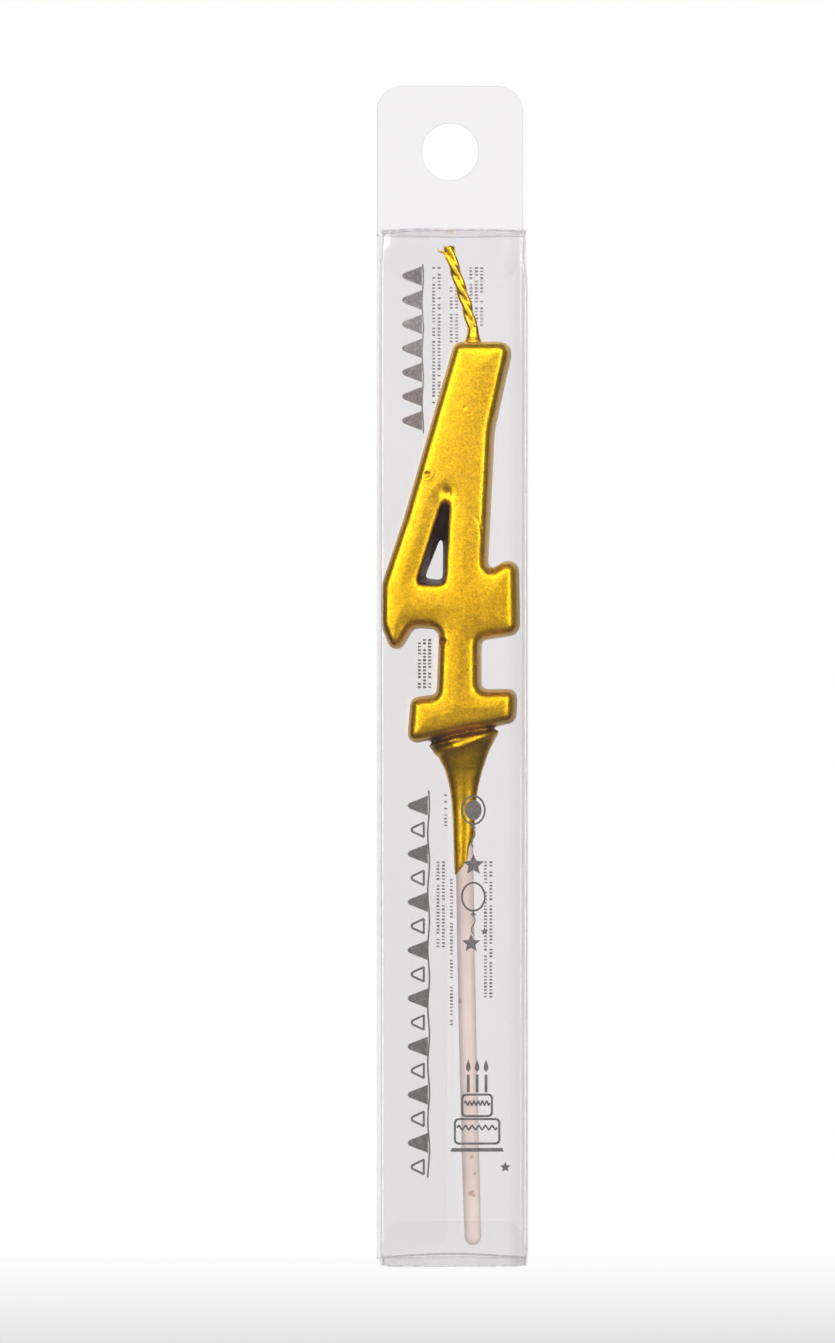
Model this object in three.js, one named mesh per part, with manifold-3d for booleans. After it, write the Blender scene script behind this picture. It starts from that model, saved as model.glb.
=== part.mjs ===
// Number birthday candle, a figure 4 on a stick, in its clear folding box with a hang tab.
// Millimetres, +Z up, +X to the viewer's right, the front faces -Y.
// The origin is the middle of the box's bottom face.

import * as THREE from "three";
import { mergeVertices } from "three/addons/utils/BufferGeometryUtils.js";
import Module from "manifold-3d";

// ---- Driving dimensions: the box ----

const boxWidth = 20;
const boxDepth = 14;
const boxHeight = 140;
const sheet = 0.2; // thickness of the clear PET
const foldGap = 0.1; // free space between two layers that lie on each other
const tabTop = 160.4;
const tabCornerRadius = 3.4;
const hangHoleRadius = 3.9;
const hangHoleHeight = 151.4;
const glueFlapWidth = 9.4;
const glueFlapTrim = 2; // how far the ends of the glue flap are cut back
const glueFlapCornerRadius = 1;

// ---- Driving dimensions: the two tuck ends, which are alike ----

const tongueLength = 6;
const tongueClearance = 0.5; // the tongue swings this far while it is drawn out
const tongueInset = 0.5; // the tongue is this much narrower than the box on each side
const tongueCornerRadius = 2.5;
const dustFlapLength = 7;
const dustFlapCornerRadius = 0.8;
const dustFlapFrontGap = 0.9; // at its crease, the flap starts this far behind the front panel
const dustFlapFrontTaper = 0.75; // its front edge draws back by this much per mm
const dustFlapBackGap = 0.4; // and it ends this far in front of the tongue
const dustFlapBackTaper = 0.15;

// ---- Driving dimensions: the candle ----

const candleTurn = THREE.MathUtils.degToRad(-5); // it sits slightly turned in the box
const digitThickness = 10;
const edgeRound = 1.0; // how far the faces draw in from the widest outline
const edgeRoundDepth = 4.6;
const counterOverrun = 0.05; // the counter is cut this far past the faces
const castGap = 0.12; // between the wax and what is cast into it

const wickRadius = 0.76;
const stickRadius = 1.18;
const stickTop = 70;
const stickBottom = 2.4;
const stickLean = 1.25; // sideways reach of the bowed stick, top to bottom
const stickBow = 1.6; // power of the bow: 1 leans straight, more bends towards the foot
const stickTopX = 1.6;

const neckBottom = 53.8;
const neckTop = 71.3;
const neckEndRadius = 1.5;
const neckRimRadius = 4.9;
const neckFlare = 4; // power of the flare from the end to the rim
const neckCapRise = 1.5; // the neck's top rises this far into the foot
const neckLeanHeight = 5; // over this height the neck takes on the foot's slope
const footSlope = 0.215; // the foot's underside rises to the right by this much per mm

// ---- Materials ----

const goldLacquer = new THREE.MeshStandardMaterial({ color: 0xd9ac2a, roughness: 0.35, metalness: 1 });
const goldThread = new THREE.MeshStandardMaterial({ color: 0xc99a20, roughness: 0.3, metalness: 1 });
const creamPlastic = new THREE.MeshStandardMaterial({ color: 0xe6d9d0, roughness: 0.45, metalness: 0 });
const clearSheet = new THREE.MeshStandardMaterial({
  color: 0xeef0f4,
  roughness: 0.08,
  metalness: 0,
  transparent: true,
  opacity: 0.18,
});

const wasm = await Module();
wasm.setup();

const part = new THREE.Group();
const sleeve = new THREE.Group();
const candle = new THREE.Group();
candle.rotation.z = candleTurn;
part.add(sleeve, candle);

function addPiece(group, name, geometry, material) {
  const mesh = new THREE.Mesh(geometry, material);
  mesh.name = name;
  group.add(mesh);
}

// A geometry as a manifold solid, with only its shared corner points left.
function solid(geometry) {
  const bare = geometry.clone();
  bare.deleteAttribute("normal");
  bare.deleteAttribute("uv");
  const merged = mergeVertices(bare, 1e-4);
  return new wasm.Manifold(
    new wasm.Mesh({
      numProp: 3,
      vertProperties: merged.getAttribute("position").array,
      triVerts: new Uint32Array(merged.index.array),
    }),
  );
}

// A manifold solid back as a geometry.
function geometryOf(manifold) {
  const mesh = manifold.getMesh();
  const geometry = new THREE.BufferGeometry();
  geometry.setAttribute("position", new THREE.BufferAttribute(mesh.vertProperties, 3));
  geometry.setIndex(new THREE.BufferAttribute(mesh.triVerts, 1));
  return geometry;
}

// Traces a closed outline through corners [x, y, radius], each rounded by an arc of its radius.
function roundCorners(path, corners) {
  corners.forEach(([x, y, radius], i) => {
    const corner = new THREE.Vector2(x, y);
    const toLast = new THREE.Vector2(...corners.at(i - 1)).sub(corner).normalize();
    const toNext = new THREE.Vector2(...corners[(i + 1) % corners.length]).sub(corner).normalize();
    const halfAngle = Math.acos(toLast.dot(toNext)) / 2;
    const reach = radius / Math.tan(halfAngle);
    const start = corner.clone().addScaledVector(toLast, reach);
    if (i === 0) path.moveTo(start.x, start.y);
    else path.lineTo(start.x, start.y);
    if (radius === 0) return;
    const inwards = toLast.clone().add(toNext).normalize();
    const centre = corner.clone().addScaledVector(inwards, radius / Math.sin(halfAngle));
    const end = corner.clone().addScaledVector(toNext, reach);
    const from = start.sub(centre).angle();
    const to = end.sub(centre).angle();
    path.absarc(centre.x, centre.y, radius, from, to, toNext.cross(toLast) < 0);
  });
  path.closePath();
  return path;
}

// ---- Box: the sleeve ----

// A flat panel that fills the space between two corner points.
function slab(low, high) {
  const size = new THREE.Vector3(...high).sub(new THREE.Vector3(...low));
  const middle = new THREE.Vector3(...low).addScaledVector(size, 0.5);
  return new THREE.BoxGeometry(size.x, size.y, size.z).translate(middle.x, middle.y, middle.z);
}

const halfWidth = boxWidth / 2;
const halfDepth = boxDepth / 2;
const innerWidth = halfWidth - sheet;
const innerDepth = halfDepth - sheet;
const sideTrim = sheet + foldGap; // the side panels stop below the lid that covers them

addPiece(
  sleeve,
  "front_panel",
  slab([-halfWidth, -halfDepth, 0], [halfWidth, -innerDepth, boxHeight]),
  clearSheet,
);
for (const [name, inner, outer] of [
  ["left_panel", -innerWidth, -halfWidth],
  ["right_panel", innerWidth, halfWidth],
]) {
  const low = [Math.min(inner, outer), -innerDepth, sideTrim];
  const high = [Math.max(inner, outer), innerDepth, boxHeight - sideTrim];
  addPiece(sleeve, name, slab(low, high), clearSheet);
}

// A flat piece of sheet cut to an outline in X and Z; its back face lies at the given Y.
function standingSheet(outline, backY, curveSegments = 3) {
  const settings = { depth: sheet, bevelEnabled: false, curveSegments };
  return new THREE.ExtrudeGeometry(outline, settings).rotateX(Math.PI / 2).translate(0, backY, 0);
}

const backOutline = roundCorners(new THREE.Shape(), [
  [-halfWidth, 0, 0],
  [halfWidth, 0, 0],
  [halfWidth, tabTop, tabCornerRadius],
  [-halfWidth, tabTop, tabCornerRadius],
]);
backOutline.holes.push(new THREE.Path().absarc(0, hangHoleHeight, hangHoleRadius, 0, 2 * Math.PI));
addPiece(sleeve, "back_panel", standingSheet(backOutline, halfDepth, 12), clearSheet);

const glueFlapEdge = glueFlapWidth - innerWidth;
const glueOutline = roundCorners(new THREE.Shape(), [
  [-innerWidth, sideTrim, 0],
  [glueFlapEdge, sideTrim + glueFlapTrim, glueFlapCornerRadius],
  [glueFlapEdge, boxHeight - sideTrim - glueFlapTrim, glueFlapCornerRadius],
  [-innerWidth, boxHeight - sideTrim, 0],
]);
addPiece(sleeve, "glue_seam_flap", standingSheet(glueOutline, innerDepth), clearSheet);

// ---- Box: a tuck end ----

// One closed end, made as the top one: its lid is creased to the front panel's upper edge.
const hingeY = -halfDepth;
const tongueY = innerDepth - sheet - tongueClearance; // the tongue's outer face
const lidUnderside = boxHeight - sheet;
const dustTop = lidUnderside - foldGap;
const dustUnderside = dustTop - sheet;

// A flat piece of sheet cut to an outline in X and Y, with its underside at the given Z.
function lyingSheet(outline, undersideZ) {
  const settings = { depth: sheet, bevelEnabled: false, curveSegments: 3 };
  return new THREE.ExtrudeGeometry(outline, settings).translate(0, 0, undersideZ);
}

function addTuckEnd(group, end) {
  const lidSide = halfWidth - foldGap;
  const lid = slab([-lidSide, -innerDepth + foldGap, lidUnderside], [lidSide, tongueY, boxHeight]);
  addPiece(group, end + "_lid", lid, clearSheet);

  const tongueSide = innerWidth - tongueInset;
  const tongueTop = lidUnderside - foldGap;
  const tongueOutline = roundCorners(new THREE.Shape(), [
    [-tongueSide, boxHeight - tongueLength, tongueCornerRadius],
    [tongueSide, boxHeight - tongueLength, tongueCornerRadius],
    [tongueSide, tongueTop, 0],
    [-tongueSide, tongueTop, 0],
  ]);
  addPiece(group, end + "_tuck_tongue", standingSheet(tongueOutline, tongueY), clearSheet);

  // The dust flaps taper, so that they fold up under the lid and pass beside the tongue.
  const crease = innerWidth - foldGap;
  const tip = halfWidth - dustFlapLength;
  const frontAt = (x) => hingeY + dustFlapFrontGap + dustFlapFrontTaper * (halfWidth - x);
  const backAt = (x) => tongueY - sheet - dustFlapBackGap - dustFlapBackTaper * (halfWidth - x);
  for (const [side, sign] of [
    ["left", -1],
    ["right", 1],
  ]) {
    const corners = [
      [sign * crease, frontAt(crease), 0],
      [sign * crease, backAt(crease), 0],
      [sign * tip, backAt(tip), dustFlapCornerRadius],
      [sign * tip, frontAt(tip), dustFlapCornerRadius],
    ];
    const outline = roundCorners(new THREE.Shape(), sign > 0 ? corners : corners.reverse());
    addPiece(group, end + "_dust_flap_" + side, lyingSheet(outline, dustUnderside), clearSheet);
  }
}

addTuckEnd(sleeve, "top");

// The bottom end is the top end turned over about X, so its lid is creased to the back panel.
const bottomEnd = new THREE.Group();
bottomEnd.rotation.x = Math.PI;
bottomEnd.position.z = boxHeight;
sleeve.add(bottomEnd);
addTuckEnd(bottomEnd, "bottom");

// ---- Candle: the wick ----

// One cord: it stands out of the top of the 4 and runs down inside the wax to the foot.
const wickRoute = new THREE.CatmullRomCurve3(
  [
    [1.4, 75],
    [1.2, 84],
    [1.4, 96],
    [2.4, 108],
    [2.7, 120],
    [2.85, 126],
    [2.2, 129.1],
    [1.6, 131.2],
    [0.4, 134.9],
    [-0.5, 138],
  ].map(([x, z]) => new THREE.Vector3(x, 0, z)),
);
const wickSteps = 30;
const wickSides = 8;

function wickTube(radius) {
  const section = new THREE.Shape().absarc(0, 0, radius, 0, 2 * Math.PI);
  const settings = {
    steps: wickSteps,
    extrudePath: wickRoute,
    bevelEnabled: false,
    curveSegments: wickSides / 2,
  };
  return new THREE.ExtrudeGeometry(section, settings);
}

addPiece(candle, "wick", wickTube(wickRadius), goldThread);

// ---- Candle: the stick ----

// A round stick with a domed lower end, bowed sideways more and more towards its foot.
function bowedStick(radius, topZ) {
  const sides = 12;
  const lengthSteps = 8;
  const domeSteps = 4;
  const profile = [];
  for (let i = 0; i <= domeSteps; i++) {
    const angle = (i / domeSteps) * (Math.PI / 2);
    profile.push(
      new THREE.Vector2(radius * Math.sin(angle), stickBottom + radius * (1 - Math.cos(angle))),
    );
  }
  const shaftStart = stickBottom + radius;
  for (let i = 1; i <= lengthSteps; i++) {
    profile.push(new THREE.Vector2(radius, shaftStart + ((topZ - shaftStart) * i) / lengthSteps));
  }
  profile.push(new THREE.Vector2(0, topZ));
  const geometry = new THREE.LatheGeometry(profile, sides).rotateX(Math.PI / 2);
  const positions = geometry.getAttribute("position");
  for (let i = 0; i < positions.count; i++) {
    const along = Math.max(0, (stickTop - positions.getZ(i)) / (stickTop - stickBottom));
    positions.setX(i, positions.getX(i) + stickTopX + stickLean * along ** stickBow);
  }
  return geometry;
}

addPiece(candle, "stick", bowedStick(stickRadius, stickTop), creamPlastic);

// ---- Candle: the wax ----

// The widest outline of the 4, at half its thickness, anticlockwise from the foot's lower left.
const digitOutline = roundCorners(new THREE.Shape(), [
  [-6.15, 70.3, 1.2],
  [8.75, 73.4, 1.3],
  [8.9, 78.0, 1.25],
  [4.0, 77.9, 0.7],
  [4.0, 84.5, 0.7],
  [9.25, 85.3, 1.5],
  [9.1, 96.7, 1.5],
  [4.85, 93.8, 0.6],
  [5.8, 113.0, 10],
  [8.5, 125.1, 1.6],
  [0.35, 125.1, 1.2],
  [-6.6, 101.0, 6],
  [-9.6, 92.0, 3.5],
  [-9.65, 86.6, 1.8],
  [-7.75, 81.7, 1.2],
  [-5.2, 86.2, 1.2],
  [-1.75, 86.0, 1.1],
  [-2.1, 77.2, 0.6],
  [-5.6, 76.8, 1.2],
]);

const flatThickness = digitThickness - 2 * edgeRoundDepth;
const digit = new THREE.ExtrudeGeometry(digitOutline, {
  depth: flatThickness,
  curveSegments: 3,
  bevelSize: edgeRound,
  bevelOffset: -edgeRound,
  bevelThickness: edgeRoundDepth,
  bevelSegments: 3,
})
  .rotateX(Math.PI / 2)
  .translate(0, flatThickness / 2, 0);

// The counter of the 4 narrows from both faces to a small triangle at half thickness.
const counterAtFace = roundCorners(new THREE.Path(), [
  [-0.05, 103.7, 0.35],
  [-1.1, 103.7, 0.35],
  [-4.8, 92.0, 0.5],
  [-0.7, 92.0, 0.5],
]);
const counterAtMiddle = roundCorners(new THREE.Path(), [
  [-1.3, 98.9, 0.2],
  [-3.65, 93.0, 0.25],
  [-1.35, 92.8, 0.3],
]);

// Half of the counter: the solid between its outline at half thickness and the one at a face.
function counterHalf(side) {
  const atDepth = (path, y) => path.getPoints(2).map((point) => [point.x, y, point.y]);
  const face = side * (digitThickness / 2 + counterOverrun);
  return wasm.Manifold.hull([
    ...atDepth(counterAtFace, face),
    ...atDepth(counterAtMiddle, -side * counterOverrun),
  ]);
}

// The neck flares up to the foot; its upper part leans with the foot's sloping underside.
function flaredNeck() {
  const rings = 8;
  const sides = 24;
  const profile = [new THREE.Vector2(0, neckBottom)];
  for (let i = 0; i <= rings; i++) {
    const along = i / rings;
    const flare = along ** neckFlare;
    const radius = THREE.MathUtils.lerp(neckEndRadius, neckRimRadius, flare);
    profile.push(new THREE.Vector2(radius, THREE.MathUtils.lerp(neckBottom, neckTop, along)));
  }
  profile.push(new THREE.Vector2(0, neckTop + neckCapRise));
  const geometry = new THREE.LatheGeometry(profile, sides).rotateX(Math.PI / 2);
  const positions = geometry.getAttribute("position");
  for (let i = 0; i < positions.count; i++) {
    const across = positions.getX(i);
    const height = positions.getZ(i);
    const leaning = THREE.MathUtils.smoothstep(height, neckTop - neckLeanHeight, neckTop);
    positions.setZ(i, height + across * footSlope * leaning);
    positions.setX(i, across + stickTopX);
  }
  return geometry;
}

const wax = solid(digit)
  .subtract(counterHalf(-1))
  .subtract(counterHalf(1))
  .add(solid(flaredNeck()))
  .subtract(solid(wickTube(wickRadius + castGap)))
  .subtract(solid(bowedStick(stickRadius + castGap, stickTop + castGap)));
addPiece(candle, "wax_body", geometryOf(wax), goldLacquer);

export default part;
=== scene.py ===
import math

import bmesh
import bpy
import numpy as np
from mathutils import Matrix, Vector, noise
from mathutils.bvhtree import BVHTree
from mathutils.kdtree import KDTree


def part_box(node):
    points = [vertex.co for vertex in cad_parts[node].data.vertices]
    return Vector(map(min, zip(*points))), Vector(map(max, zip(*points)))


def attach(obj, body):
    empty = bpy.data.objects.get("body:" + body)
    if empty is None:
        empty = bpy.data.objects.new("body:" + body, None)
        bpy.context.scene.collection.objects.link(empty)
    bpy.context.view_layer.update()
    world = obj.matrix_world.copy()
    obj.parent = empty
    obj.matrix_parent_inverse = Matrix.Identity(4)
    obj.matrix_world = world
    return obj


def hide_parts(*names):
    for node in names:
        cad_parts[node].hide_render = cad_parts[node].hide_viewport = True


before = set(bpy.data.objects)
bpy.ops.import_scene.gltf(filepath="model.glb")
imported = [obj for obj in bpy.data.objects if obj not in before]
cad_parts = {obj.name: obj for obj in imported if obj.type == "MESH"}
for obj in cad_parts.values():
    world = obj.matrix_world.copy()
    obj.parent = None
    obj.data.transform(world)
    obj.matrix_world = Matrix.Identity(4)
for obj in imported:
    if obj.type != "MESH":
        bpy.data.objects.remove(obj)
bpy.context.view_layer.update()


# ---- Camera ----
# A long lens a metre away, level with the middle of the pack, standing a little to its left,
# so that the left wall of the box just shows.
CAMERA_DISTANCE = 1.0219
CAMERA_HEIGHT = 0.0803
CAMERA_TURN = math.radians(2.0)
CAMERA_OFFSET = 0.0047
SENSOR_HEIGHT = 36.0
LENS = 201.6

look = Vector((math.sin(CAMERA_TURN), math.cos(CAMERA_TURN), 0.0))
aside = Vector((math.cos(CAMERA_TURN), -math.sin(CAMERA_TURN), 0.0))
camera_data = bpy.data.cameras.new("camera")
camera_data.sensor_fit = "VERTICAL"
camera_data.sensor_height = SENSOR_HEIGHT
camera_data.lens = LENS
camera_data.dof.use_dof = False
camera = bpy.data.objects.new("camera", camera_data)
camera.location = Vector((0, 0, CAMERA_HEIGHT)) - look * CAMERA_DISTANCE - aside * CAMERA_OFFSET
camera.rotation_euler = (math.pi / 2, 0.0, -CAMERA_TURN)
bpy.context.scene.collection.objects.link(camera)
bpy.context.scene.camera = camera


# ---- The wax figure and its neck ----
# One casting of paraffin wax: a figure 4 whose sides draft out to a parting line at half depth,
# on a neck that flares up from the stick. It is dipped in metallic gold lacquer, which rounds its
# edges, pools on the neck's rim and ends on the stick in a slanting edge.
MM = 0.001
CANDLE_TURN = math.radians(-5.0)
FIGURE_VOXEL = 0.22 * MM
FIGURE_SOFTENING = 18
BORE_GAP = 0.3 * MM
# The shaping below works in millimetres, in the candle's own frame.
FLAT_SHARE = 0.8  # how much of a flat face's normal points to the front or the back
FACE_DEPTH = 4.0
RIM_DEPTH = 3.4
FRONT_DEPTH = 3.0
CUSHION = 0.30
CUSHION_REACH = 1.4
NECK_AXIS = 1.6
NECK_TOP = 69.5
LIP_HEIGHT = 70.5
LIP_SLOPE = 0.33
LIP_SPREAD = 5.2
LIP_ZONE = (66, 75)
LIP = (0.34, 0.33)  # height and half width
UPPER_LIP = (0.16, 0.20)
UPPER_LIP_RISE = 0.95
GROOVE_START = 0.32
GROOVE_FADE = 0.2
GROOVE_BOTTOM = 68
FOOT_EDGE = 71.9
FOOT_SLOPE = 0.215
DIP_EDGE = 53.8
DIP_SLANT_REACH = 3.5
DIP_TAPER_REACH = 6.0
DIP_TAPER = 0.15
COUNTER_FRONT, COUNTER_BACK = -4.7, 4.9
COUNTER_BOTTOM, COUNTER_TOP = 91.7, 104.0
COUNTER_LEFT, COUNTER_RIGHT = -4.934, 0.3
COUNTER_LEAN = 0.33
DIMPLE = (-0.45, 104.4, 0.7, 0.8, 0.45)  # x, z, half width, half height, depth
FLANK_DEPTH = 3.9
PIT_RING = (1.3, 0.3, 0.35)  # radius and half width in pit radii, height in pit depths
SCRATCH_HALF_WIDTH = 0.16
BLEMISHES = (  # x, z, radius, depth, all in mm; a ring of wax stands round each pit
    (-3.12, 106.9, 0.42, 0.42),
    (5.20, 93.9, 0.40, 0.34),
    (-1.00, 84.4, 0.42, 0.36),
    (3.55, 81.4, 0.24, 0.22),
    (1.95, 115.9, 0.26, 0.09),
    (2.60, 115.2, 0.20, 0.07),
    (-7.10, 95.1, 0.22, 0.10),
)
SCRATCHES = (  # from x, z to x, z in mm, then depth
    (3.45, 101.1, 4.35, 99.7, 0.07),
    (4.05, 100.0, 4.45, 99.1, 0.12),
    (1.20, 117.0, 2.30, 115.6, 0.04),
    (-5.60, 90.3, -4.10, 89.5, 0.04),
)
GOLD = (0.90, 0.545, 0.010, 1.0)
GOLD_DEEP = (0.76, 0.44, 0.003, 1.0)
WAX_SIDE = (0.66, 0.54, 0.38, 1.0)
# The near-black brown of the painted shade in the hole of the 4 and under the foot.
POCKET_SHADE = (0.13, 0.052, 0.008, 1.0)


def add_piece(name, mesh, *materials):
    """A finished piece at the origin, with its place in its mesh."""
    piece = bpy.data.objects.new(name, mesh)
    bpy.context.scene.collection.objects.link(piece)
    for material in materials:
        mesh.materials.append(material)
    return piece


def merged_copy(node):
    """A CAD node's mesh as a bmesh with its loose triangles joined up."""
    shape = bmesh.new()
    shape.from_mesh(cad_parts[node].data)
    bmesh.ops.remove_doubles(shape, verts=shape.verts, dist=1e-6)
    return shape


def mesh_of(shape, name, smooth=True):
    mesh = bpy.data.meshes.new(name)
    shape.to_mesh(mesh)
    shape.free()
    for face in mesh.polygons:
        face.use_smooth = smooth
    return mesh


def with_modifiers(mesh, *modifiers):
    """The mesh after the modifiers, each (type, settings), as a plain mesh."""
    carrier = bpy.data.objects.new("carrier", mesh)
    bpy.context.scene.collection.objects.link(carrier)
    for kind, settings in modifiers:
        modifier = carrier.modifiers.new(kind, kind)
        for setting, value in settings.items():
            setattr(modifier, setting, value)
    evaluated = carrier.evaluated_get(bpy.context.evaluated_depsgraph_get())
    result = bpy.data.meshes.new_from_object(evaluated)
    bpy.data.objects.remove(carrier)
    for face in result.polygons:
        face.use_smooth = True
    return result


def add_node(tree, kind, inputs=None, **settings):
    """One shader node; an input is given a value, or linked if it is another node's output."""
    node = tree.nodes.new(kind)
    for setting, value in settings.items():
        setattr(node, setting, value)
    for socket, value in (inputs or {}).items():
        if isinstance(value, bpy.types.NodeSocket):
            tree.links.new(value, node.inputs[socket])
        else:
            node.inputs[socket].default_value = value
    return node


def ramp(tree, factor, *stops):
    """A colour ramp with the given (position, colour) stops."""
    node = add_node(tree, "ShaderNodeValToRGB", {"Fac": factor})
    elements = node.color_ramp.elements
    while len(elements) < len(stops):
        elements.new(0.5)
    for element, (position, colour) in zip(elements, stops):
        element.position = position
        element.color = colour
    return node.outputs["Color"]


def rescaled(tree, value, before, after):
    """A value moved from one range to another and held inside it."""
    return add_node(tree, "ShaderNodeMapRange", {
        "Value": value, "From Min": before[0], "From Max": before[1],
        "To Min": after[0], "To Max": after[1],
    }).outputs["Result"]


def reckoned(tree, operation, *values):
    """The result of a math node."""
    return add_node(tree, "ShaderNodeMath", dict(enumerate(values)), operation=operation).outputs[0]


def blend(tree, share, first, second):
    """The second colour over the first, by a share."""
    mix = add_node(tree, "ShaderNodeMix", {0: share, 6: first, 7: second}, data_type="RGBA")
    return mix.outputs[2]


def multiplied(tree, first, second):
    mix = add_node(tree, "ShaderNodeVectorMath", {0: first, 1: second}, operation="MULTIPLY")
    return mix.outputs["Vector"]


def relief(tree, strength, distance, height):
    """The normal of a bumpy surface."""
    bump = add_node(tree, "ShaderNodeBump", {
        "Strength": strength, "Distance": distance, "Height": height,
    })
    return bump.outputs["Normal"]


def grey(value):
    return (value, value, value, 1.0)


def new_material(name):
    material = bpy.data.materials.new(name)
    material.use_nodes = True
    material.node_tree.nodes.clear()
    return material, material.node_tree


def finish_material(tree, surface):
    add_node(tree, "ShaderNodeOutputMaterial", {"Surface": surface})


def ridge(offset, half_width):
    """A smooth hump, 1 where the offset is 0."""
    return np.exp(-(offset / half_width) ** 2)


def fade_in(distance, reach):
    """0 up to a distance of 0, and 1 from the reach on."""
    return np.clip(distance / reach, 0.0, 1.0)


# The figure starts as the CAD casting with its two bores closed.
shape = merged_copy("wax_body")
cast_in = bmesh.new()
for node in ("wick", "stick"):
    cast_in.from_mesh(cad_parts[node].data)
near = BVHTree.FromBMesh(cast_in)
bore_walls = [
    face for face in shape.faces
    if near.find_nearest(face.calc_center_median(), BORE_GAP)[0] is not None
]
bmesh.ops.delete(shape, geom=bore_walls, context="FACES")
bmesh.ops.holes_fill(shape, edges=[edge for edge in shape.edges if edge.is_boundary])
bmesh.ops.triangulate(shape, faces=shape.faces)
cast_in.free()
figure_mesh = with_modifiers(
    mesh_of(shape, "figure_start"),
    ("REMESH", {"mode": "VOXEL", "voxel_size": FIGURE_VOXEL}),
    ("SMOOTH", {"factor": 0.5, "iterations": FIGURE_SOFTENING}),
)
figure_mesh.name = "gold_wax_figure"

# Its faces are slightly cushioned. Then come pits and scratches, the lip where lacquer pooled on
# the neck, and the slanting end of the dip on the stick.
upright = Matrix.Rotation(-CANDLE_TURN, 3, "Z")
to_candle = np.array(upright)
count = len(figure_mesh.vertices)
places = np.empty(count * 3)
figure_mesh.vertices.foreach_get("co", places)
outward = np.array([vector.vector[:] for vector in figure_mesh.vertex_normals])
places = places.reshape(-1, 3) @ to_candle.T / MM
outward = outward @ to_candle.T
x, y, z = places.T
rims = KDTree(count)
rim = (np.abs(outward[:, 1]) < FLAT_SHARE) & (np.abs(y) > RIM_DEPTH) & (z > NECK_TOP)
for i in np.flatnonzero(rim):
    rims.insert(places[i], int(i))
rims.balance()
flat = (np.abs(outward[:, 1]) > FLAT_SHARE) & (np.abs(y) > FACE_DEPTH)
cushion = np.zeros(count)
for i in np.flatnonzero(flat):
    cushion[i] = 1.0 - math.exp(-rims.find(places[i])[2] / CUSHION_REACH)
push = CUSHION * cushion
front = y < -FRONT_DEPTH
ring_radius, ring_width, ring_height = PIT_RING
for spot_x, spot_z, radius, depth in BLEMISHES:
    away = np.hypot(x - spot_x, z - spot_z) / radius
    push += front * depth * (ring_height * ridge(away - ring_radius, ring_width) - np.exp(-away ** 4))
for x0, z0, x1, z1, depth in SCRATCHES:
    along = ((x - x0) * (x1 - x0) + (z - z0) * (z1 - z0)) / ((x1 - x0) ** 2 + (z1 - z0) ** 2)
    along = np.clip(along, 0.0, 1.0)
    away = np.hypot(x - x0 - along * (x1 - x0), z - z0 - along * (z1 - z0))
    push -= front * depth * ridge(away, SCRATCH_HALF_WIDTH)
dimple_x, dimple_z, dimple_wide, dimple_tall, dimple_depth = DIMPLE
push -= front * dimple_depth * ridge(x - dimple_x, dimple_wide) * ridge(z - dimple_z, dimple_tall)
above = z - LIP_HEIGHT - LIP_SLOPE * (x - NECK_AXIS)
around = np.maximum(0.0, 1.0 - ((x - NECK_AXIS) / LIP_SPREAD) ** 2)
around *= (z > LIP_ZONE[0]) & (z < LIP_ZONE[1])
broken = 0.5 + 0.5 * np.sin(2.1 * x + 0.6)
upper_lip = ridge(above - UPPER_LIP_RISE, UPPER_LIP[1])
push += around * LIP[0] * ridge(above, LIP[1])
push += around * broken * UPPER_LIP[0] * upper_lip
low_end = (1.0 - fade_in(z - DIP_EDGE, DIP_TAPER_REACH)) ** 2
slant = 1.0 - fade_in(np.abs(z - DIP_EDGE), DIP_SLANT_REACH)
inside = (y > COUNTER_FRONT) & (y < COUNTER_BACK) & (z > COUNTER_BOTTOM) & (z < COUNTER_TOP)
inside &= (x < COUNTER_RIGHT) & (x > COUNTER_LEFT + COUNTER_LEAN * (z - COUNTER_BOTTOM))

# x, y and z look into places, so from here on they follow the pushed surface.
places += push[:, None] * outward
places[:, 2] += (x - NECK_AXIS) * slant
places[:, 0] = NECK_AXIS + (places[:, 0] - NECK_AXIS) * (1.0 - DIP_TAPER * low_end)
places[:, 1] *= 1.0 - DIP_TAPER * low_end
over_foot = z - FOOT_EDGE - FOOT_SLOPE * x
# Painted shade: the walls of the hole in the 4 and the groove between the foot and the neck's lip are
# darkened, all but the broken ridge of the upper lip, which stays lit.
painted_recess_shade = figure_mesh.attributes.new("painted_recess_shade", "FLOAT", "POINT")
groove_shade = fade_in(above - GROOVE_START, GROOVE_FADE) * (z > GROOVE_BOTTOM) * (over_foot < 0)
groove_shade *= 1.0 - 0.75 * broken * upper_lip
painted_recess_shade.data.foreach_set("value", np.maximum(
    inside * fade_in(COUNTER_BACK + 0.05 - np.abs(y), 0.5), 0.7 * groove_shade,
))
side = figure_mesh.attributes.new("side", "FLOAT", "POINT")
side.data.foreach_set("value", (
    fade_in(over_foot, 0.8) * fade_in(FLANK_DEPTH - np.abs(y), 1.3)
    * np.clip(0.5 + outward[:, 0], 0.2, 1.0)
))
figure_mesh.vertices.foreach_set("co", (places @ to_candle * MM).ravel())

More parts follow.
